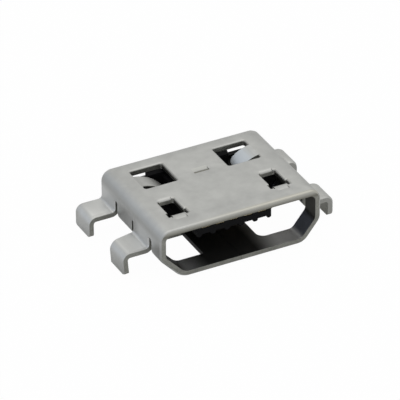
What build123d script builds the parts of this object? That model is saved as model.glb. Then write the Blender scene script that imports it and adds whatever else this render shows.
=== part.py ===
from build123d import *
import os

os.makedirs("parts", exist_ok=True)

# Board socket for a small data and charging plug, sunk into a cut-out of the board.
# The mouth faces -Y, the board surface is level with the undersides of the four legs,
# and the origin is under the middle of the whole object. Sizes are in millimetres.

# Folded shell: one sheet, wide side of the mouth up, both lower corners cut off.
# A lower corner is given by its height on the wall and its reach on the bottom.
sheet = 0.26
mouth_width = 6.9
shell_height = 2.42
shell_depth = 5.49
top_bend = 0.5
low_bend = 0.58
left_wall_bend = 0.45
left_foot_bend = 0.8
die_roll = 0.08
rim_roll = 0.11
leg_roll = 0.06
right_corner = (0.96, 2.94)
left_corner = (1.06, 2.72)

# Bottom plate and the openings that the leg blanks leave in it
ring_depth = 0.87
plate_half = 1.3
band_front = 2.86
slot_rear = 2.58
band_reach = 3.2
band_rear = 4.03
notch_round = 0.35
notch_sharp = 0.05
seam_gap = 0.012
seam_step = 0.3
seam_key = (2.95, 3.65)
seam_slant = 0.12

# Legs: their shoulders lie on the board, their tips go into its holes
leg_reach = 4.92
leg_seat = 0.87
leg_tip = 0.15
leg_bend = 0.12
leg_tip_round = 0.16
front_leg = (1.12, 2.45)
rear_leg = (4.22, shell_depth)
leg_taper = 0.22
leg_lean = 0.07
slot_top = 1.65

# Windows in the top plate, given as half of a mirrored pair
rear_window = (1.18, 2.68, 3.36, 4.86)
latch_window = (1.98, 2.72, 1.08, 2.24)
window_round = 0.09
latch_roll = 0.17
tab_span = (3.55, 4.43)
tab_round = 0.27
right_tab = (0.84, 0.5, 0.15)
left_tab = (1.15, 0.7, 0.21)
lip_span = (2.04, 2.66)
lip_start = 0.92
lip_bend = 0.16
lip_drop = 0.6
dent_half = 0.27
dent_front = 0.66
dent_bottom = 0.74
dent_rear = 0.95
dent_cut = 0.045
relief_width = 0.14
relief_span = (0.97, 1.3)
mark_half = 0.35
mark_front = 3.48
mark_rear = 3.78
mark_bottom = 3.6
mark_cut = 0.035

# Moulded insulator: base at the rear, tongue towards the mouth
tongue_front = 0.6
tongue_half = 1.71
tongue_top = 1.89
tongue_under = 1.4
rib_under = 1.29
rib_round = 0.08
tongue_round = 0.1
channel_width = 0.42
base_front = 3.4
base_rear = 5.45
spine_half = 1.2
pocket_floor = 1.44
pocket_rear = 4.55
shelf_top = 1.5
rim_front = 5.2
rim_top = 1.62
wall_front = 4.76
wall_rear = 4.95
wall_half = 1.9
wall_chamfer = 0.14

# Contacts moulded into the tongue and base, with solder tails on the board
contact_count = 5
contact_pitch = 0.65
contact_width = 0.4
contact_sheet = 0.15
contact_bend = 0.12
nose_level = 1.74
nose_start = 0.64
nose_end = 0.84
blade_start = 1.2
blade_end = 3.1
root_level = 1.2
root_start = 3.4
root_end = 4.8
tail_start = 5.12
tail_end = 6.0

# Values that follow from them
shell_half = mouth_width / 2 + sheet
inner_top = shell_height - sheet
middle_top = shell_height - sheet / 2
leg_level = leg_seat + sheet / 2
bend_top = leg_level + leg_bend + sheet / 2
blade_level = tongue_under + contact_sheet / 2
tail_level = leg_seat + contact_sheet / 2
front = -tail_end / 2
lip_middle = (lip_span[1] + lip_span[0]) / 2
outside = shell_half + 2
sliver = 0.001
under = -1.0


def across(depth):
    """Plane across the object, a depth behind the mouth: local X is X, local Y is height."""
    return Plane(origin=(0, front + depth, 0), x_dir=(1, 0, 0), z_dir=(0, -1, 0))


def along(x):
    """Plane along the object at one X: local X is the depth behind the mouth, local Y is height."""
    return Plane(origin=(x, front, 0), x_dir=(0, 1, 0), z_dir=(1, 0, 0))


def plan(height):
    """Level plane: local X is X, local Y is the depth behind the mouth."""
    return Plane(origin=(0, front, height))


def oblong(x_range, y_range, mode=Mode.ADD):
    """Rectangle between two local X values and two local Y values."""
    middle = (sum(x_range) / 2, sum(y_range) / 2)
    with Locations(middle):
        Rectangle(abs(x_range[1] - x_range[0]), abs(y_range[1] - y_range[0]), mode=mode)


def section(inset=0.0, mode=Mode.ADD):
    """Filled section of the shell's outside, or of its inside with the sheet as the inset."""
    with BuildSketch(mode=Mode.PRIVATE) as outline:
        with BuildLine():
            Polyline(
                (-shell_half, shell_height),
                (shell_half, shell_height),
                (shell_half, right_corner[0]),
                (right_corner[1], 0),
                (-left_corner[1], 0),
                (-shell_half, left_corner[0]),
                close=True,
            )
        make_face()
        corners = outline.vertices().sort_by(Axis.X)
        wall_left, top_left = corners[:2].sort_by(Axis.Y)
        foot_left, foot_right = corners[2:4]
        wall_right, top_right = corners[4:].sort_by(Axis.Y)
        for places, radius in (
            ((top_left, top_right), top_bend),
            ((wall_right, foot_right), low_bend),
            ((wall_left,), left_wall_bend),
            ((foot_left,), left_foot_bend),
        ):
            fillet([outline.vertices().sort_by_distance(place)[0] for place in places], radius)
        if inset:
            offset(amount=-inset, mode=Mode.REPLACE)
    add(outline.sketch, mode=mode)


# Shell: the folded tube
with BuildPart() as shell:
    with BuildSketch(across(0)):
        section()
        section(sheet, mode=Mode.SUBTRACT)
    extrude(amount=-shell_depth)

    # Openings that the leg blanks leave in the bottom, the chamfers and the lower walls
    for side, notch in ((1, notch_round), (-1, notch_sharp)):
        with BuildSketch(plan(under)) as openings:
            oblong((side * plate_half, side * outside), (ring_depth, slot_rear))
            oblong((side * plate_half, side * band_reach), (slot_rear - sheet, band_front))
            oblong((side * plate_half, side * outside), (band_rear, shell_depth + 1))
            fillet(openings.vertices().sort_by_distance((side * plate_half, ring_depth))[0], notch)
        extrude(amount=bend_top - under, mode=Mode.SUBTRACT)

    # Relief slots beside the legs, round at the top
    for slot in ((ring_depth, front_leg[0]), (front_leg[1], slot_rear), (band_rear, rear_leg[0])):
        radius = (slot[1] - slot[0]) / 2
        with BuildSketch(along(-outside)):
            oblong(slot, (bend_top - sheet, slot_top - radius))
            with Locations((slot[0] + radius, slot_top - radius)):
                Circle(radius)
        extrude(amount=2 * outside, mode=Mode.SUBTRACT)

    # Legs: out of the wall, level over the board and down to the tip; the front left tip leans in a little
    for side in (1, -1):
        for leg in (front_leg, rear_leg):
            lean = leg_lean if side < 0 and leg == front_leg else 0
            with BuildSketch(across(leg[0])):
                with BuildLine():
                    FilletPolyline(
                        (side * (shell_half - sheet / 2), bend_top + sheet / 2),
                        (side * (shell_half - sheet / 2), leg_level),
                        (side * (leg_reach - sheet / 2), leg_level),
                        (side * (leg_reach - sheet / 2 - lean), leg_tip),
                        radius=leg_bend + sheet / 2,
                    )
                trace(line_width=sheet)
            extrude(amount=leg[0] - leg[1])

    # The front legs narrow from the wall to the tip
    with BuildSketch(plan(leg_tip - 1)):
        for side in (1, -1):
            with BuildLine():
                Polyline(
                    (side * (shell_half + leg_bend), front_leg[1]),
                    (side * leg_reach, front_leg[1] - leg_taper),
                    (side * outside, front_leg[1] - leg_taper),
                    (side * outside, front_leg[1] + leg_taper),
                    (side * (shell_half + leg_bend), front_leg[1]),
                )
            make_face()
    extrude(amount=bend_top + 1 - leg_tip, mode=Mode.SUBTRACT)
    tips = shell.edges().filter_by(Axis.X).filter_by_position(Axis.Z, leg_tip / 2, leg_tip * 3 / 2)
    fillet(tips, leg_tip_round)

    # Windows in the top plate
    for side in (1, -1):
        with BuildSketch(plan(inner_top - sheet)) as window:
            oblong((side * rear_window[0], side * rear_window[1]), rear_window[2:])
            fillet(window.vertices(), window_round)
        extrude(amount=3 * sheet, mode=Mode.SUBTRACT)
        with BuildSketch(plan(inner_top - sheet)) as window:
            oblong((side * latch_window[0], side * latch_window[1]), latch_window[2:])
            fillet(window.vertices(), window_round)
            oblong((side * lip_span[0], side * lip_span[1]), (lip_start, latch_window[2] + window_round))
            for edge in (lip_span[0] - relief_width, lip_span[1]):
                oblong((side * edge, side * (edge + relief_width)), relief_span)
        extrude(amount=3 * sheet, mode=Mode.SUBTRACT)

    # Die roll on the outer side's cut edges: full in the windows, slight round the mouth,
    # and as a narrow chamfer along the rear, the legs and the relief slots that run on from them
    mouth_rim = shell.faces().sort_by(Axis.Y)[0].outer_wire().edges()
    fillet(mouth_rim, rim_roll)
    top_edges = shell.edges().filter_by_position(Axis.Z, shell_height - sliver, shell_height + sliver)
    cut_edges = top_edges.filter_by_position(Axis.Y, front + 2 * rim_roll, front + shell_depth - sliver)
    fillet([edge for edge in cut_edges if edge.length < shell_depth / 2], die_roll)
    top_edges = shell.edges().filter_by_position(Axis.Z, shell_height - sliver, shell_height + sliver)
    chamfer(top_edges.sort_by(Axis.Y)[-1], leg_roll)
    leg_top = leg_seat + sheet
    leg_edges = shell.edges().filter_by(Axis.X).filter_by_position(Axis.Z, leg_top - sliver, leg_top + sliver)
    chamfer(leg_edges, leg_roll)

    # The latch windows' rear edges are rolled off further
    roll_middle = latch_roll * (1 - 0.5**0.5)
    with BuildSketch(along(-latch_window[1] + die_roll)):
        with BuildLine():
            ThreePointArc(
                (latch_window[3] + latch_roll, shell_height),
                (latch_window[3] + roll_middle, shell_height - roll_middle),
                (latch_window[3], shell_height - latch_roll),
            )
            Polyline(
                (latch_window[3], shell_height - latch_roll),
                (latch_window[3] - sheet, shell_height - latch_roll),
                (latch_window[3] - sheet, shell_height),
                (latch_window[3] + latch_roll, shell_height),
            )
        make_face()
    rear_rolls = extrude(amount=latch_window[1] - latch_window[0] - 2 * die_roll, mode=Mode.PRIVATE)
    add(rear_rolls, mode=Mode.SUBTRACT)
    mirror(rear_rolls, about=Plane.YZ, mode=Mode.SUBTRACT)

    # Sprung tabs in the rear windows, rooted on the outer side and bent down to the middle;
    # the left one reaches further than the right one, and both have round free corners
    for side, (reach, drop, sag) in ((1, right_tab), (-1, left_tab)):
        with BuildPart(mode=Mode.PRIVATE) as tab:
            with BuildSketch(across(tab_span[0])):
                with BuildLine():
                    ThreePointArc(
                        (side * (rear_window[1] + 2 * die_roll), middle_top),
                        (side * (rear_window[1] - reach / 2), middle_top - sag),
                        (side * (rear_window[1] - reach), middle_top - drop),
                    )
                trace(line_width=sheet)
            extrude(amount=tab_span[0] - tab_span[1])
            free_end = tab.faces().sort_by_distance((side * (rear_window[1] - reach), 0, middle_top - drop))[0]
            fillet(free_end.edges().sort_by(SortBy.LENGTH)[:2], tab_round)
        add(tab.part)

    # Lips at the front of the latch windows, bent down between two relief cuts
    for side in (1, -1):
        with BuildSketch(along(side * lip_span[0])):
            with BuildLine():
                FilletPolyline(
                    (lip_start - sheet / 2, middle_top),
                    (lip_start + lip_bend, middle_top),
                    (lip_start + lip_bend, shell_height - lip_drop),
                    radius=lip_bend,
                )
            trace(line_width=sheet)
        extrude(amount=side * (lip_span[1] - lip_span[0]))

    # Stamped dents in the top plate, steep at the front: a short one in the middle, one before each lip
    for half, x, start, bottom, stop, cut in (
        (mark_half, 0, mark_front, mark_bottom, mark_rear, mark_cut),
        (dent_half, lip_middle, dent_front, dent_bottom, dent_rear, dent_cut),
        (dent_half, -lip_middle, dent_front, dent_bottom, dent_rear, dent_cut),
    ):
        with BuildSketch(along(x - half)):
            with BuildLine():
                Polyline((start, shell_height), (bottom, shell_height - cut), (stop, shell_height), close=True)
            make_face()
        extrude(amount=2 * half, mode=Mode.SUBTRACT)

    # Seam along the bottom, where the two ends of the blank key into each other
    with BuildSketch(plan(-sheet)):
        with BuildLine():
            Polyline(
                (0, -sheet),
                (0, seam_key[0]),
                (seam_step, seam_key[0] - seam_slant),
                (seam_step, seam_key[1] + seam_slant),
                (0, seam_key[1]),
                (0, shell_depth + sheet),
            )
        trace(line_width=seam_gap)
    extrude(amount=3 * sheet, mode=Mode.SUBTRACT)

# Contacts: stamped strips under the tongue, lower through the base and out over the board
contacts = []
for index in range(contact_count):
    x = (index - (contact_count - 1) / 2) * contact_pitch
    with BuildPart() as contact:
        with BuildSketch(along(x)):
            with BuildLine():
                FilletPolyline(
                    (nose_start, nose_level),
                    (nose_end, nose_level),
                    (blade_start, blade_level),
                    (blade_end, blade_level),
                    (root_start, root_level),
                    (root_end, root_level),
                    (tail_start, tail_level),
                    (tail_end, tail_level),
                    radius=contact_bend,
                )
            trace(line_width=contact_sheet)
        extrude(amount=contact_width / 2, both=True)
    contact.part.label = f"contact_{index + 1}"
    contacts.append(contact.part)

# Insulator: base that fills the rear of the shell, and the ribbed tongue
with BuildPart() as insulator:
    with BuildSketch(across(base_front)):
        section(sheet)
    extrude(amount=base_front - base_rear)

    # Pockets under the tabs, then a shelf and a rim, with the spine left standing between them
    for side in (1, -1):
        for floor, start, stop in (
            (pocket_floor, base_front - 1, pocket_rear),
            (shelf_top, pocket_rear, rim_front),
            (rim_top, rim_front, base_rear + 1),
        ):
            with BuildSketch(plan(floor)):
                oblong((side * spine_half, side * outside), (start, stop))
            extrude(amount=shell_height, mode=Mode.SUBTRACT)
    with BuildSketch(plan(tongue_top)):
        oblong((-outside, outside), (base_front - 1, base_rear + 1))
    extrude(amount=shell_height, mode=Mode.SUBTRACT)

    # Cross wall behind the windows, its upper front edge taken off
    with BuildSketch(along(-wall_half)):
        with BuildLine():
            Polyline(
                (wall_front, pocket_floor),
                (wall_front, inner_top - wall_chamfer),
                (wall_front + wall_chamfer, inner_top),
                (wall_rear, inner_top),
                (wall_rear, pocket_floor),
                close=True,
            )
        make_face()
    extrude(amount=2 * wall_half)

    # Tongue with a channel for each contact
    with BuildSketch(across(tongue_front)) as bar:
        oblong((-tongue_half, tongue_half), (rib_under, tongue_top))
        for index in range(contact_count):
            x = (index - (contact_count - 1) / 2) * contact_pitch
            oblong(
                (x - channel_width / 2, x + channel_width / 2),
                (rib_under, tongue_under),
                mode=Mode.SUBTRACT,
            )
        fillet(bar.vertices().filter_by_position(Axis.Y, 0, (rib_under + tongue_under) / 2), rib_round)
        fillet(bar.vertices().sort_by(Axis.Y)[-2:], tongue_round)
    extrude(amount=tongue_front - base_front)

    # The contacts' noses end a little behind the tongue's front face, in slots of their own size
    with BuildSketch(across(tongue_front)):
        for index in range(contact_count):
            with Locations(((index - (contact_count - 1) / 2) * contact_pitch, nose_level)):
                Rectangle(contact_width, contact_sheet)
    extrude(amount=tongue_front - nose_start, mode=Mode.SUBTRACT)
    for strip in contacts:
        add(strip, mode=Mode.SUBTRACT)

shell.part.label = "shell"
export_step(shell.part, "parts/shell.step")

insulator.part.label = "insulator"
export_step(insulator.part, "parts/insulator.step")

for strip in contacts:
    export_step(strip, f"parts/{strip.label}.step")
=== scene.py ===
from math import cos, radians, sin

import bpy
from mathutils import Matrix, Vector

MM = 0.001

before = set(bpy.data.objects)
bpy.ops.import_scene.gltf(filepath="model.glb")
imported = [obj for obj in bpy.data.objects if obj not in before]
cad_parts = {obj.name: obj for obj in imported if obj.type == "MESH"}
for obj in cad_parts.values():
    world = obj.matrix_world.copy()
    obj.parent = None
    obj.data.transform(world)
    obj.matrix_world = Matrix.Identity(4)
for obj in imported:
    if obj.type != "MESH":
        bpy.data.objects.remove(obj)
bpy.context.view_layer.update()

# Places on the shell in millimetres: the mouth is at y = -3, the board at z = 0, the middle at x = 0.
# A pair is a range. "OUT" is measured to either side of the middle.
OPENINGS_OUT = 3.0
BOTTOM_PLATE_HEIGHT = 0.29
TOP_PLATE = (2.13, 2.3)
TOP_FACE = 2.3
MARK_OUT = 0.35
MARK_LINE = (0.45, 0.60)
MARK_SLOPE = (0.63, 0.84)
HOLLOW = (0.24, 2.18)
HOLLOW_OUT = 3.47
HOLLOW_OUTWARD = 0.5
TABS_HEIGHT = 1.4
WALL_OUT = (3.3, 3.72)
CORNER_AND_WALL_OUT = (3.2, 3.72)
LEG_BEND_OUT = (3.70, 3.86)
LEG_BEND = (1.12, 1.3)
LEFT_SHANK = -4.6
LEFT_RIM = -3.2
RIGHT_LEG = 4.2
RIM_DEPTH = -2.8
ROLL_HEIGHT = 2.2
WINDOWS_LEFT = -3.0
RIGHT_TAB = (0.54, 1.44)
RIGHT_TAB_EDGE = 1.0
RIGHT_TAB_HEIGHT = (1.6, 2.41)
TAB_CUT_HEIGHT = (1.4, 2.4)
TAB_CUT_SHADE = (0.5, 0.605)
TAB_CUT_SHADE_ALONG = (-2.75, -1.0)
TAB_CUT = (0.5, 0.6)
LEFT_TAB_EDGE = -1.0
BOTTOM_CUT_HEIGHT = 0.3

# Ramps on the shell: start and end in millimetres, then the values there where they aren't 0 and 1
WALL_LIGHT = (2.3, 1.8)
WALL_UPPER = (2.42, 2.20, 0.0, 0.34)
WALL_UPPER_END = (1.72, 2.02)
WALL_LOWER = (2.2, 1.6, 0.0, 0.36)
WALL_FOOT = (1.3, 0.95, 0.0, 0.2)
BETWEEN_LEGS_FRONT = (-1.1, -0.7)
BETWEEN_LEGS_REAR = (1.15, 0.65)
SHANK_HEIGHT = (0.9, 0.0, 0.05, 0.28)
SHANK_DEPTH = (0.0, 1.0, 1.6, 1.0)
RIM_LEFT_DEPTH = (-2.1, -2.85)
RIM_LEFT_HEIGHT = (2.2, 1.55, 0.0, 0.5)
LEDGE = (-3.70, -4.05)
ROOT_INNER = (-3.72, -3.84)
ROOT_OUTER = (-4.3, -3.95)
ROOT_DEPTH = (-1.0, 0.0)
RIM_ROLL_DEPTH = (-2.80, -2.90)
RIM_ROLL_ALONG = (-2.5, 0.5)
RIGHT_TAB_ROOT = (2.65, 2.3)
FLOOR_LEFT = (-1.4, -2.4)
FLOOR_RIGHT = (0.8, 1.9)
CHAMFER_HEIGHT = (0.27, 0.42)
INNER_WALL_HEIGHT = (0.85, 1.05)
BROW_HEIGHT = (2.02, 2.17)
BROW_LIGHT = (2.17, 2.32)

# Parts of a face's direction, from 0 to 1 or, in the ramps, from start to end
CUT_ALONG_Y = 0.93
CUT_ALONG_X = 0.97
UPWARD = 0.3
LEG_BEND_TILT = (0.15, 0.93)
LEDGE_TILT = (0.9, 0.99)
ROOT_TILT = (0.5, 0.97)
WINDOW_ROLL_TILT = (-0.15, -0.5)
INWARD = -0.5

# Noise: features in a metre, detail and roughness
PLATING_CLOUD = (2600.0, 4.0, 0.6)
PLATING_GRAIN = (14000.0, 2.0, 0.5)
PLATING_DRIFT = (900.0, 2.0, 0.5)
MOULDING_CLOUD = (3000.0, 3.0, 0.55)
MOULDING_GRAIN = (22000.0, 2.0, 0.55)
GOLD_CLOUD = (4000.0, 3.0, 0.55)
GOLD_LINES = (24000.0, 2.0, 0.55)
GOLD_STRETCH = (1.0, 0.08, 1.0)

# How the noise is used: the share of the first of two, and the values between which a blend runs
MOTTLING_SHARE = 0.6
CUT_SHARE = 0.5
NOISE_MIDDLE = (0.38, 0.62)
NOISE_WIDE = (0.3, 0.7)

# Bumps: strength, and distance in millimetres
PLATING_GRAIN_BUMP = (0.2, 0.001)
PLATING_WAVE_BUMP = (0.3, 0.004)
MOULDING_BUMP = (0.4, 0.003)
GOLD_BUMP = (0.3, 0.001)

# Gloss: roughness as a range over the noise or as one value, and the moulding's specular level
PLATING_ROUGHNESS = (0.46, 0.54)
MOULDING_ROUGHNESS = (0.5, 0.62)
GOLD_ROUGHNESS = (0.22, 0.34)
PAPER_ROUGHNESS = 0.9
MOULDING_SPECULAR = 0.08

# How much of the painted shade the legs' bends take
LEG_BEND_SHADE = 0.14

COLORS = {
    "plating_dark": (0.44, 0.44, 0.427, 1),
    "plating_light": (0.50, 0.50, 0.484, 1),
    # Painted light on the side walls
    "side_wall_light": (0.53, 0.53, 0.52, 1),
    # Painted shade under the bends, between the legs and in the legs' bends
    "painted_shade": (0.12, 0.12, 0.105, 1),
    # Painted light on the left legs' tops
    "ledge_light": (0.55, 0.55, 0.536, 1),
    # Painted light on the left legs' roots, brighter at the front
    "root_light_front": (0.66, 0.66, 0.643, 1),
    "root_light_rear": (0.59, 0.59, 0.575, 1),
    # Painted highlight on the stamped mark behind its dark line
    "mark_slope_highlight": (0.52, 0.52, 0.495, 1),
    # Painted highlight on the die roll over the mouth
    "rim_roll_highlight": (0.47, 0.46, 0.415, 1),
    # Painted shade on the right legs' inner faces
    "leg_inside_shade": (0.30, 0.30, 0.27, 1),
    "tab_cut_shade": (0.08, 0.08, 0.07, 1),
    # Painted bluish light on the right tab
    "right_tab_light": (0.489, 0.512, 0.528, 1),
    # Painted shade on the windows' rolled edges that look to the left
    "window_roll_shade": (0.36, 0.35, 0.32, 1),
    # Painted shade and light inside the tube; the left of the floor stays near the plating's tone
    "floor_middle_shade": (0.06, 0.06, 0.06, 1),
    "floor_left": (0.42, 0.42, 0.42, 1),
    "floor_right_light": (0.68, 0.67, 0.66, 1),
    "chamfer_left_shade": (0.05, 0.05, 0.044, 1),
    "chamfer_right_light": (0.26, 0.27, 0.31, 1),
    "inner_wall_shade": (0.09, 0.09, 0.08, 1),
    "cut_dark": (0.22, 0.22, 0.20, 1),
    "cut_light": (0.31, 0.31, 0.28, 1),
    # The stamped mark's cut step, with painted shadow on the plate in front
    "mark_cut_and_shadow": (0.22, 0.215, 0.19, 1),
    # Painted light on the right legs' cut edges
    "leg_end_light": (0.33, 0.33, 0.31, 1),
    # Painted shade and highlight on the cut edge round the mouth
    "brow_shade": (0.19, 0.185, 0.160, 1),
    "brow_highlight": (0.42, 0.415, 0.38, 1),
    "cut_shaded": (0.08, 0.08, 0.072, 1),
    # Painted shade on hidden cut sides
    "cut_hidden_shade": (0.05, 0.05, 0.05, 1),
    "moulding_dark": (0.004, 0.004, 0.0045, 1),
    "moulding_light": (0.006, 0.006, 0.0065, 1),
    "gold_dark": (0.62, 0.51, 0.29, 1),
    "gold_light": (0.74, 0.63, 0.40, 1),
    "paper": (0.62, 0.62, 0.62, 1),
    "white": (1, 1, 1, 1),
    "sky_low": (0.76, 0.765, 0.755, 1),
    "sky_high": (1.12, 1.12, 1.09, 1),
    "sky_left": (0.98, 1.04, 1.14, 1),
}

# How strongly the floor glows for the camera, and for mirrored and transmitted rays
FLOOR_SEEN = 0.98
FLOOR_MIRRORED = 0.25

# The floor's width in metres, and how far it lies under the legs in millimetres
FLOOR_WIDTH = 2.0
FLOOR_GAP = 0.002

# Sky directions, from start to end
SKY_RISE = (0.45, 0.95)
SKY_LEFT = (0.1, -0.5)

# The lamp: metres and watts
LAMP_PLACE = (0.02, -0.02, 0.35)
LAMP_SIZE = 0.50
LAMP_POWER = 0.30

# The camera fitted to the photograph: degrees, millimetres and pixels
AZIMUTH, ELEVATION, ROLL = -27.12, 32.346, -0.407
DISTANCE = 188.025
PIXELS_PER_MM = 24.173
PHOTO_PIXELS = 400
TARGET = (0.08, -0.4, 1.2)
TARGET_PIXEL = (213.675, 205.59)
SENSOR_WIDTH = 36

# The camera sees from the first to the second distance, in metres
CLIP = (0.01, 10)

# Smoothing: the angle in degrees over which an edge stays sharp, and the seam's width in millimetres
SHARP_ANGLE = 32
SEAM = 0.00001


def put(tree, kind, **settings):
    """Adds a node and sets its properties."""
    node = tree.nodes.new(kind)
    for name, value in settings.items():
        setattr(node, name, value)
    return node


def feed(tree, node, values):
    """Sets inputs of a node by name or index: a number stays a number, a socket becomes a link."""
    for key, value in values.items():
        socket = node.inputs[key]
        if isinstance(value, bpy.types.NodeSocket):
            tree.links.new(value, socket)
        else:
            socket.default_value = value
    return node


def calc(tree, operation, a, b=0.0):
    node = put(tree, "ShaderNodeMath", operation=operation)
    feed(tree, node, {0: a, 1: b})
    return node.outputs[0]


def product(tree, first, *others):
    for other in others:
        first = calc(tree, "MULTIPLY", first, other)
    return first


def largest(tree, first, *others):
    for other in others:
        first = calc(tree, "MAXIMUM", first, other)
    return first


def remaining(tree, value):
    return calc(tree, "SUBTRACT", 1.0, value)


def mixture(tree, a, b, share):
    return calc(tree, "ADD", product(tree, a, share), product(tree, b, 1.0 - share))


def remap(tree, value, start, end, low=0.0, high=1.0):
    node = put(tree, "ShaderNodeMapRange")
    feed(tree, node, {0: value, 1: start, 2: end, 3: low, 4: high})
    return node.outputs[0]


def blend(tree, factor, a, b):
    node = put(tree, "ShaderNodeMix", data_type="RGBA")
    feed(tree, node, {0: factor, 6: a, 7: b})
    return node.outputs[2]


def noise(tree, place, scale, detail, rough):
    node = put(tree, "ShaderNodeTexNoise")
    feed(tree, node, {"Vector": place, "Scale": scale, "Detail": detail, "Roughness": rough})
    return node.outputs["Fac"]


def bump(tree, strength, distance, height, where=None, normal=None):
    """A bump, on a part of the surface if a mask is given, and on top of another if its normal is."""
    node = put(tree, "ShaderNodeBump")
    feed(tree, node, {
        "Strength": strength if where is None else product(tree, where, strength),
        "Distance": distance * MM,
        "Height": height,
    })
    if normal is not None:
        feed(tree, node, {"Normal": normal})
    return node.outputs[0]


def new_material(name):
    material = bpy.data.materials.new(name)
    material.use_nodes = True
    tree = material.node_tree
    return material, tree, tree.nodes["Principled BSDF"]


class Axis:
    """One measure of a surface point. Its masks take limits in the unit that is given here."""

    def __init__(self, tree, socket, unit):
        self.tree = tree
        self.socket = socket
        self.unit = unit

    def above(self, limit):
        return calc(self.tree, "GREATER_THAN", self.socket, limit * self.unit)

    def below(self, limit):
        return calc(self.tree, "LESS_THAN", self.socket, limit * self.unit)

    def within(self, low, high):
        return product(self.tree, self.above(low), self.below(high))

    def ramp(self, start, end, low=0.0, high=1.0):
        return remap(self.tree, self.socket, start * self.unit, end * self.unit, low, high)

    def size(self):
        return Axis(self.tree, calc(self.tree, "ABSOLUTE", self.socket), self.unit)


class Shell:
    """The places on the folded sheet, each as a mask from 0 to 1."""

    def __init__(self, tree):
        self.tree = tree
        self.place = put(tree, "ShaderNodeTexCoord").outputs["Object"]
        self.x, self.y, self.z = self.axes(self.place, MM)
        facing = put(tree, "ShaderNodeNewGeometry").outputs["True Normal"]
        self.facing_x, self.facing_y, self.facing_z = self.axes(facing, 1.0)
        self.out = self.x.size()
        # Sheared faces that look forward or back, and those in the plates that look to the left or right
        self.cut = self.facing_y.size().above(CUT_ALONG_Y)
        self.openings = self.both(
            self.facing_x.size().above(CUT_ALONG_X),
            self.either(self.z.below(BOTTOM_PLATE_HEIGHT), self.z.within(*TOP_PLATE)),
            self.out.below(OPENINGS_OUT),
        )
        # The stamped mark's dark line: partly the cut face of its step, partly painted shadow on the
        # plate in front
        self.mark_cut_and_shadow = self.mark(MARK_LINE)

    def axes(self, vector, unit):
        split = feed(self.tree, put(self.tree, "ShaderNodeSeparateXYZ"), {0: vector})
        return [Axis(self.tree, output, unit) for output in split.outputs]

    def both(self, *masks):
        return product(self.tree, *masks)

    def either(self, *masks):
        return largest(self.tree, *masks)

    def mark(self, depth):
        """A strip of the small mark stamped between the windows."""
        return self.both(self.y.within(*depth), self.out.below(MARK_OUT), self.z.above(TOP_FACE))

    def hollow(self):
        """The inner side of the folded tube, apart from the tabs that are bent down into it."""
        tree = self.tree
        away = product(tree, self.facing_x.socket, self.x.socket)
        outward = calc(tree, "GREATER_THAN", away, HOLLOW_OUTWARD * MM)
        tabs = self.both(self.facing_z.above(UPWARD), self.z.above(TABS_HEIGHT))
        outer = self.either(outward, tabs)
        return self.both(self.out.below(HOLLOW_OUT), self.z.within(*HOLLOW), remaining(tree, outer))

    # Painted light: the side walls are made lighter than the plating towards their lower part.
    def lit_side_walls(self):
        return self.both(self.out.within(*WALL_OUT), self.z.ramp(*WALL_LIGHT))

    def painted_shade_places(self):
        """Painted shade under the upper bends, between the legs, on the left legs and rim, and in the
        legs' bends.
        """
        lower = self.both(
            calc(self.tree, "ADD", self.z.ramp(*WALL_LOWER), self.z.ramp(*WALL_FOOT)),
            self.out.within(*CORNER_AND_WALL_OUT),
            self.y.ramp(*BETWEEN_LEGS_FRONT),
            self.y.ramp(*BETWEEN_LEGS_REAR),
        )
        upper = self.both(
            self.z.ramp(*WALL_UPPER), self.z.ramp(*WALL_UPPER_END), self.out.within(*WALL_OUT)
        )
        shank = self.both(
            self.z.ramp(*SHANK_HEIGHT), self.x.below(LEFT_SHANK), self.y.ramp(*SHANK_DEPTH)
        )
        rim = self.both(
            self.y.ramp(*RIM_LEFT_DEPTH), self.x.below(LEFT_RIM), self.z.ramp(*RIM_LEFT_HEIGHT)
        )
        bend = self.both(
            self.out.within(*LEG_BEND_OUT),
            self.z.within(*LEG_BEND),
            self.facing_z.within(*LEG_BEND_TILT),
            LEG_BEND_SHADE,
        )
        return self.either(lower, upper, shank, rim, bend)

    def ledge_light(self):
        """Painted light on the level tops of the left legs."""
        return self.both(self.x.ramp(*LEDGE), self.facing_z.ramp(*LEDGE_TILT))

    def roots(self):
        """Painted light on the left legs where they meet the shell's side."""
        return self.both(
            self.x.ramp(*ROOT_INNER), self.x.ramp(*ROOT_OUTER), self.facing_z.ramp(*ROOT_TILT)
        )

    def rim_roll_highlight(self):
        """Painted highlight on the die roll over the mouth, stronger to the right."""
        return self.both(
            self.y.ramp(*RIM_ROLL_DEPTH), self.z.above(ROLL_HEIGHT), self.x.ramp(*RIM_ROLL_ALONG)
        )

    def leg_inside_shade(self):
        """The inner faces of the right legs, painted darker as shade."""
        return self.both(self.x.above(RIGHT_LEG), self.facing_x.below(INWARD))

    def tab_cut_shade(self):
        """The edge in front of the left tab."""
        return self.both(
            self.y.within(*TAB_CUT_SHADE),
            self.z.within(*TAB_CUT_HEIGHT),
            self.x.within(*TAB_CUT_SHADE_ALONG),
        )

    # Painted bluish light on the right tab.
    def right_tab_light(self):
        return self.both(
            self.y.within(*RIGHT_TAB),
            self.x.ramp(*RIGHT_TAB_ROOT),
            self.x.above(RIGHT_TAB_EDGE),
            self.z.within(*RIGHT_TAB_HEIGHT),
        )

    def shaded_window_rolls(self):
        """Painted shade on the rolled edges on the right of the windows, which look to the left."""
        return self.both(
            self.facing_x.ramp(*WINDOW_ROLL_TILT),
            self.x.above(WINDOWS_LEFT),
            self.z.above(ROLL_HEIGHT),
        )

    def lit_leg_ends(self):
        """The cut edges of the right legs, painted lighter as light."""
        return self.both(self.cut, self.x.above(RIGHT_LEG))

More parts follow.
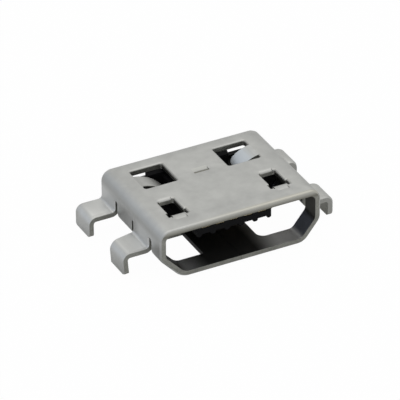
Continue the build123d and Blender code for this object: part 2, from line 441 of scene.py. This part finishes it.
    def brow_shading(self):
        """The upper part of the cut edge round the mouth, with painted highlight at the top fading to
        painted shade below.
        """
        return self.both(self.cut, self.z.ramp(*BROW_HEIGHT), self.y.below(RIM_DEPTH))

    def shaded_cuts(self):
        """Cut sides of the openings that look to the left."""
        return self.both(self.openings, self.facing_x.below(0.0))

    def shaded_hidden_cuts(self):
        """Painted shade, nearly black, on the cut sides of the bottom plate's openings and the edge in
        front of the left tab.
        """
        tab = self.both(
            self.y.within(*TAB_CUT), self.z.within(*TAB_CUT_HEIGHT), self.x.below(LEFT_TAB_EDGE)
        )
        return self.either(self.both(self.openings, self.z.below(BOTTOM_CUT_HEIGHT)), tab)


def painted(tree, base, *patches):
    """Lays patches over a base colour, one after the other: pairs of a mask and a colour."""
    for mask, color in patches:
        base = blend(tree, mask, base, COLORS[color] if isinstance(color, str) else color)
    return base


def outer_plating(tree, shell, cloud, drift):
    """Satin plating with faint mottling, and painted light and shade by place as in the photograph."""
    mottling = remap(tree, mixture(tree, cloud, drift, MOTTLING_SHARE), *NOISE_MIDDLE)
    plating = blend(tree, mottling, COLORS["plating_dark"], COLORS["plating_light"])
    # Painted light on the left legs' roots, brighter to the front
    root_light = blend(tree, shell.y.ramp(*ROOT_DEPTH), COLORS["root_light_front"], COLORS["root_light_rear"])
    # The right tab's painted light, kept off the windows' painted shade
    tab = shell.right_tab_light()
    return painted(
        tree,
        plating,
        (shell.lit_side_walls(), "side_wall_light"),
        (shell.painted_shade_places(), "painted_shade"),
        (shell.ledge_light(), "ledge_light"),
        (shell.roots(), root_light),
        (shell.mark(MARK_SLOPE), "mark_slope_highlight"),
        (shell.rim_roll_highlight(), "rim_roll_highlight"),
        (shell.leg_inside_shade(), "leg_inside_shade"),
        (shell.tab_cut_shade(), "tab_cut_shade"),
        (tab, "right_tab_light"),
        (shell.both(shell.shaded_window_rolls(), remaining(tree, tab)), "window_roll_shade"),
    )


def inner_light_and_shade(tree, shell):
    """Painted shade and light inside the tube: its floor, the chamfers beside it and the walls above
    them.
    """
    # Painted shade on the floor's middle, the left chamfer and the walls; painted light on the floor's
    # right and the right chamfer
    chamfer = blend(tree, shell.x.above(0.0), COLORS["chamfer_left_shade"], COLORS["chamfer_right_light"])
    return painted(
        tree,
        COLORS["floor_middle_shade"],
        (shell.x.ramp(*FLOOR_LEFT), "floor_left"),
        (shell.x.ramp(*FLOOR_RIGHT), "floor_right_light"),
        (shell.z.ramp(*CHAMFER_HEIGHT), chamfer),
        (shell.z.ramp(*INNER_WALL_HEIGHT), "inner_wall_shade"),
    )


def sheared_edge(tree, shell, cloud, fine):
    """The cut edges of the sheet: darker, with painted highlights and shadows in places, and painted
    shade, nearly black, where hidden.
    """
    patches = remap(tree, mixture(tree, fine, cloud, CUT_SHARE), *NOISE_MIDDLE)
    edge = blend(tree, patches, COLORS["cut_dark"], COLORS["cut_light"])
    brow_shading = blend(tree, shell.z.ramp(*BROW_LIGHT), COLORS["brow_shade"], COLORS["brow_highlight"])
    return painted(
        tree,
        edge,
        (shell.mark_cut_and_shadow, "mark_cut_and_shadow"),
        (shell.lit_leg_ends(), "leg_end_light"),
        (shell.brow_shading(), brow_shading),
        (shell.shaded_cuts(), "cut_shaded"),
        (shell.shaded_hidden_cuts(), "cut_hidden_shade"),
    )


def plated_sheet():
    """Plating on stamped sheet: mottled outside, painted shade inside, darker sheared edges, and painted
    light and shade by place.
    """
    material, tree, surface = new_material("shell_plating")
    shell = Shell(tree)
    cloud = noise(tree, shell.place, *PLATING_CLOUD)
    fine = noise(tree, shell.place, *PLATING_GRAIN)
    drift = noise(tree, shell.place, *PLATING_DRIFT)

    hollow = shell.hollow()
    sheared = shell.either(shell.cut, shell.openings, shell.mark_cut_and_shadow)
    plating = blend(tree, hollow, outer_plating(tree, shell, cloud, drift), inner_light_and_shade(tree, shell))
    edge = sheared_edge(tree, shell, cloud, fine)

    outside = remaining(tree, hollow)
    grain = bump(tree, *PLATING_GRAIN_BUMP, fine, outside)
    waves = bump(tree, *PLATING_WAVE_BUMP, cloud, outside, grain)
    feed(tree, surface, {
        "Base Color": blend(tree, sheared, plating, edge),
        "Metallic": 1.0,
        "Roughness": remap(tree, cloud, *NOISE_WIDE, *PLATING_ROUGHNESS),
        "Normal": waves,
    })
    return material


def moulded_black():
    """Black moulding: very dark, faint satin, fine spark-eroded texture."""
    material, tree, surface = new_material("insulator_moulding")
    place = put(tree, "ShaderNodeTexCoord").outputs["Object"]
    cloud = noise(tree, place, *MOULDING_CLOUD)
    fine = noise(tree, place, *MOULDING_GRAIN)
    feed(tree, surface, {
        "Base Color": blend(tree, cloud, COLORS["moulding_dark"], COLORS["moulding_light"]),
        "Roughness": remap(tree, cloud, *NOISE_WIDE, *MOULDING_ROUGHNESS),
        "Specular IOR Level": MOULDING_SPECULAR,
        "Normal": bump(tree, *MOULDING_BUMP, fine),
    })
    return material


def gold_strip():
    """Thin gold plating on the contacts, with fine lines along the strip."""
    material, tree, surface = new_material("contact_plating")
    place = put(tree, "ShaderNodeTexCoord").outputs["Object"]
    stretch = put(tree, "ShaderNodeMapping")
    feed(tree, stretch, {"Vector": place, "Scale": GOLD_STRETCH})
    lines = noise(tree, stretch.outputs[0], *GOLD_LINES)
    cloud = noise(tree, place, *GOLD_CLOUD)
    feed(tree, surface, {
        "Base Color": blend(tree, cloud, COLORS["gold_dark"], COLORS["gold_light"]),
        "Metallic": 1.0,
        "Roughness": remap(tree, cloud, *NOISE_WIDE, *GOLD_ROUGHNESS),
        "Normal": bump(tree, *GOLD_BUMP, lines),
    })
    return material


def pale_floor():
    """White floor that keeps a faint shadow; the camera and the metal see it as white."""
    material, tree, surface = new_material("floor_paper")
    feed(tree, surface, {"Base Color": COLORS["paper"], "Roughness": PAPER_ROUGHNESS})
    ray = put(tree, "ShaderNodeLightPath").outputs
    indirect = largest(tree, ray["Is Glossy Ray"], ray["Is Transmission Ray"])
    mirrored = product(tree, indirect, FLOOR_MIRRORED)
    seen = largest(tree, product(tree, ray["Is Camera Ray"], FLOOR_SEEN), mirrored)
    glow = put(tree, "ShaderNodeEmission")
    feed(tree, glow, {"Color": COLORS["white"], "Strength": 1.0})
    both = put(tree, "ShaderNodeMixShader")
    feed(tree, both, {0: seen, 1: surface.outputs[0], 2: glow.outputs[0]})
    feed(tree, tree.nodes["Material Output"], {"Surface": both.outputs[0]})
    return material


def smoothing():
    """Geometry nodes that join the mesh's seams and shade its bends smooth."""
    group = bpy.data.node_groups.new("smooth_bends", "GeometryNodeTree")
    group.interface.new_socket("Geometry", in_out="INPUT", socket_type="NodeSocketGeometry")
    group.interface.new_socket("Geometry", in_out="OUTPUT", socket_type="NodeSocketGeometry")
    start = put(group, "NodeGroupInput")
    end = put(group, "NodeGroupOutput")
    joined = put(group, "GeometryNodeMergeByDistance")
    feed(group, joined, {"Geometry": start.outputs[0], "Distance": SEAM * MM})
    soft = put(group, "GeometryNodeSetShadeSmooth", domain="FACE")
    feed(group, soft, {"Geometry": joined.outputs[0], "Shade Smooth": True})
    angle = put(group, "GeometryNodeInputMeshEdgeAngle").outputs["Unsigned Angle"]
    sharp = put(group, "FunctionNodeCompare", data_type="FLOAT", operation="GREATER_THAN")
    feed(group, sharp, {0: angle, 1: radians(SHARP_ANGLE)})
    hard = put(group, "GeometryNodeSetShadeSmooth", domain="EDGE")
    feed(group, hard, {
        "Geometry": soft.outputs[0],
        "Selection": sharp.outputs[0],
        "Shade Smooth": False,
    })
    feed(group, end, {0: hard.outputs[0]})
    return group


def dress(nodes):
    """Gives every CAD node its material and smooth bends."""
    bends = smoothing()
    plating = plated_sheet()
    moulding = moulded_black()
    gold = gold_strip()
    for name, node in nodes.items():
        mesh = node.data
        if "custom_normal" in mesh.attributes:
            mesh.attributes.remove(mesh.attributes["custom_normal"])
        modifier = node.modifiers.new("bends", "NODES")
        modifier.node_group = bends
        mesh.materials.clear()
        mesh.materials.append({"shell": plating, "insulator": moulding}.get(name, gold))


def light_world():
    """A pale sky, brightest overhead, with a bluish side to the left."""
    world = bpy.data.worlds.new("studio")
    bpy.context.scene.world = world
    world.use_nodes = True
    sky = world.node_tree
    parts = put(sky, "ShaderNodeSeparateXYZ")
    feed(sky, parts, {0: put(sky, "ShaderNodeTexCoord").outputs["Generated"]})
    rise = remap(sky, parts.outputs[2], *SKY_RISE)
    color = blend(sky, rise, COLORS["sky_low"], COLORS["sky_high"])
    left = product(sky, remap(sky, parts.outputs[0], *SKY_LEFT), remaining(sky, rise))
    color = blend(sky, left, color, COLORS["sky_left"])
    feed(sky, sky.nodes["Background"], {"Color": color, "Strength": 1.0})


def hang_lamp():
    """One large soft lamp above the object, turned towards it."""
    data = bpy.data.lights.new("softbox", "AREA")
    data.shape = "RECTANGLE"
    data.size = LAMP_SIZE
    data.size_y = LAMP_SIZE
    data.energy = LAMP_POWER
    lamp = bpy.data.objects.new("softbox", data)
    lamp.location = LAMP_PLACE
    lamp.rotation_euler = Vector(LAMP_PLACE).to_track_quat("Z", "Y").to_euler()
    bpy.context.scene.collection.objects.link(lamp)


def place_camera():
    """Sets the camera where the photograph was taken from."""
    azimuth, elevation, roll = radians(AZIMUTH), radians(ELEVATION), radians(ROLL)
    back = Vector((sin(azimuth) * cos(elevation), -cos(azimuth) * cos(elevation), sin(elevation)))
    level = Vector((cos(azimuth), sin(azimuth), 0))
    rise = back.cross(level)
    right = level * cos(roll) + rise * sin(roll)
    up = rise * cos(roll) - level * sin(roll)
    aside = (TARGET_PIXEL[0] - PHOTO_PIXELS / 2) / PIXELS_PER_MM
    above = -(TARGET_PIXEL[1] - PHOTO_PIXELS / 2) / PIXELS_PER_MM
    spot = (Vector(TARGET) - right * aside - up * above + back * DISTANCE) * MM
    data = bpy.data.cameras.new("camera")
    data.sensor_width = SENSOR_WIDTH
    data.lens = PIXELS_PER_MM * DISTANCE / PHOTO_PIXELS * SENSOR_WIDTH
    data.clip_start, data.clip_end = CLIP
    camera = bpy.data.objects.new("camera", data)
    turn = Matrix((right, up, back)).transposed().to_4x4()
    camera.matrix_world = Matrix.Translation(spot) @ turn
    bpy.context.scene.collection.objects.link(camera)
    bpy.context.scene.camera = camera


dress(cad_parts)

bpy.ops.mesh.primitive_plane_add(size=FLOOR_WIDTH, location=(0, 0, -FLOOR_GAP * MM))
floor = bpy.context.object
floor.name = "floor"
floor.data.materials.append(pale_floor())

light_world()
hang_lamp()
place_camera()
bpy.context.scene.view_settings.view_transform = "Standard"
